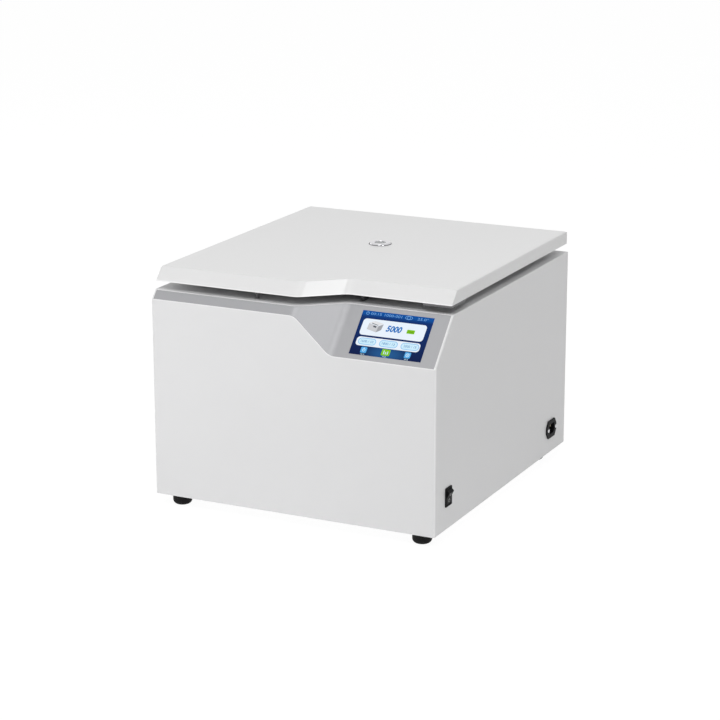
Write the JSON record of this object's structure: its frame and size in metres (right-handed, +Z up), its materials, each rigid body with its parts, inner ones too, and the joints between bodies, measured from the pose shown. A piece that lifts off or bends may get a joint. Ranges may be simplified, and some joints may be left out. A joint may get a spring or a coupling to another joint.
{
  "type": "platelet-rich plasma centrifuge",
  "caption": "Benchtop blood centrifuge with a flat hinged lid, a stepped sloping console with a touch screen, and a swing-out rotor with hanging buckets in a steel bowl.",
  "frame": {"origin": "on the table under the middle of the cabinet", "axes": "+Z up, -Y towards the user and the console, +X to the user's right, where the screen, switch and inlet are"},
  "size_m": [0.4305, 0.4738, 0.3402],
  "materials": {
    "cabinet_paint": "fine satin powder coat, light warm grey",
    "lid_paint": "satin painted moulding",
    "fascia_silver": "silver-grey matt overlay",
    "screen": "glossy touch panel over a lit display",
    "dark_module": "moulded carrier",
    "black_plastic": "fine-grained black moulding",
    "rubber": "black rubber",
    "seal_rubber": "dark silicone",
    "stainless": "brushed stainless",
    "zinc_steel": "zinc-plated sheet",
    "screw_steel": "nickel-plated",
    "chrome_ring": "polished chrome",
    "clear_window": "clear acrylic",
    "rotor_aluminium": "anodised, machined",
    "bucket_steel": "satin stainless",
    "adapter_plastic": "blue moulded insert",
    "liner_plastic": "light grey sheet",
    "motor_paint": "black painted casting",
    "winding": "varnished copper over laminations",
    "magnet": "ground magnet ring",
    "board": "green circuit board with parts",
    "brass_pins": "nickel-brass contacts"
  },
  "bodies": {
    "cabinet": {"cabinet_shell": "cabinet_paint", "console_fascia": "fascia_silver", "screen_glass": "screen", "display_module": "dark_module", "base_pan": "zinc_steel", "rear_panel": "cabinet_paint", "top_deck": "cabinet_paint", "chamber_bowl": "stainless", "chamber_gasket": "seal_rubber", "guard_ring": "zinc_steel", "vibration_mounts": "rubber", "motor_mount_plate": "rotor_aluminium", "motor_housing": "motor_paint", "motor_screws": "screw_steel", "motor_bearings": "screw_steel", "motor_stator": "winding", "bowl_boot": "seal_rubber", "hinge_body_leaves": "stainless", "hinge_pins": "screw_steel", "lock_housing": "zinc_steel", "lock_solenoid": "dark_module", "sensor_housing": "black_plastic", "switch_frame": "black_plastic", "power_inlet": "black_plastic", "inlet_pins": "brass_pins", "inlet_screws": "screw_steel", "fan_frame": "black_plastic", "fan_guard": "screw_steel", "rear_screws": "screw_steel", "rubber_feet": "rubber", "foot_screws": "screw_steel", "power_supply": "zinc_steel", "drive_board": "board", "heat_sink": "rotor_aluminium"},
    "lid": {"lid_shell": "lid_paint", "lid_liner": "liner_plastic", "lid_stiffener": "zinc_steel", "port_ring": "chrome_ring", "port_window": "clear_window", "lid_corner_pad": "lid_paint", "lid_strikers": "zinc_steel", "hinge_lid_leaves": "stainless", "lid_screws": "screw_steel"},
    "rotor": {"motor_shaft": "stainless", "motor_magnet": "magnet", "rotor_yoke": "rotor_aluminium", "trunnion_pins": "screw_steel", "rotor_nut": "stainless"},
    "rocker": {"switch_rocker": "black_plastic"},
    "lock": {"lock_bar": "zinc_steel"},
    "fan": {"fan_impeller": "black_plastic"},
    "sensor": {"lid_sensor_pin": "screw_steel"},
    "bucket_1": {"bucket_1": "bucket_steel", "tube_adapter_1": "adapter_plastic"},
    "bucket_2": {"bucket_2": "bucket_steel", "tube_adapter_2": "adapter_plastic"},
    "bucket_3": {"bucket_3": "bucket_steel", "tube_adapter_3": "adapter_plastic"},
    "bucket_4": {"bucket_4": "bucket_steel", "tube_adapter_4": "adapter_plastic"}
  },
  "joints": [
    {"name": "lid_hinge", "type": "hinge", "parent": "cabinet", "child": "lid", "pos_m": [0, 0.229, 0.314], "axis": [-1, 0, 0], "range_deg": [0, 78]},
    {"name": "rotor_spin", "type": "hinge", "parent": "cabinet", "child": "rotor", "pos_m": [0, 0.044, 0.268], "axis": [0, 0, 1], "continuous": true},
    {"name": "power_rocker", "type": "hinge", "parent": "cabinet", "child": "rocker", "pos_m": [0.209, -0.1913, 0.0629], "axis": [0, -1, 0], "range_deg": [0, 24]},
    {"name": "lock_slide", "type": "slide", "parent": "cabinet", "child": "lock", "axis": [1, 0, 0], "range_m": [0, 0.008], "stiffness_N_per_m": 300},
    {"name": "fan_spin", "type": "hinge", "parent": "cabinet", "child": "fan", "pos_m": [-0.112, 0.208, 0.088], "axis": [0, 1, 0], "continuous": true},
    {"name": "sensor_press", "type": "slide", "parent": "cabinet", "child": "sensor", "axis": [0, 0, 1], "range_m": [-0.003, 0], "stiffness_N_per_m": 300},
    {"name": "bucket_1_swing", "type": "hinge", "parent": "rotor", "child": "bucket_1", "pos_m": [0.076, 0.044, 0.268], "axis": [0, -1, 0], "range_deg": [0, 90]},
    {"name": "bucket_2_swing", "type": "hinge", "parent": "rotor", "child": "bucket_2", "pos_m": [0, 0.12, 0.268], "axis": [1, 0, 0], "range_deg": [0, 90]},
    {"name": "bucket_3_swing", "type": "hinge", "parent": "rotor", "child": "bucket_3", "pos_m": [-0.076, 0.044, 0.268], "axis": [0, 1, 0], "range_deg": [0, 90]},
    {"name": "bucket_4_swing", "type": "hinge", "parent": "rotor", "child": "bucket_4", "pos_m": [0, -0.032, 0.268], "axis": [-1, 0, 0], "range_deg": [0, 90]}
  ]
}
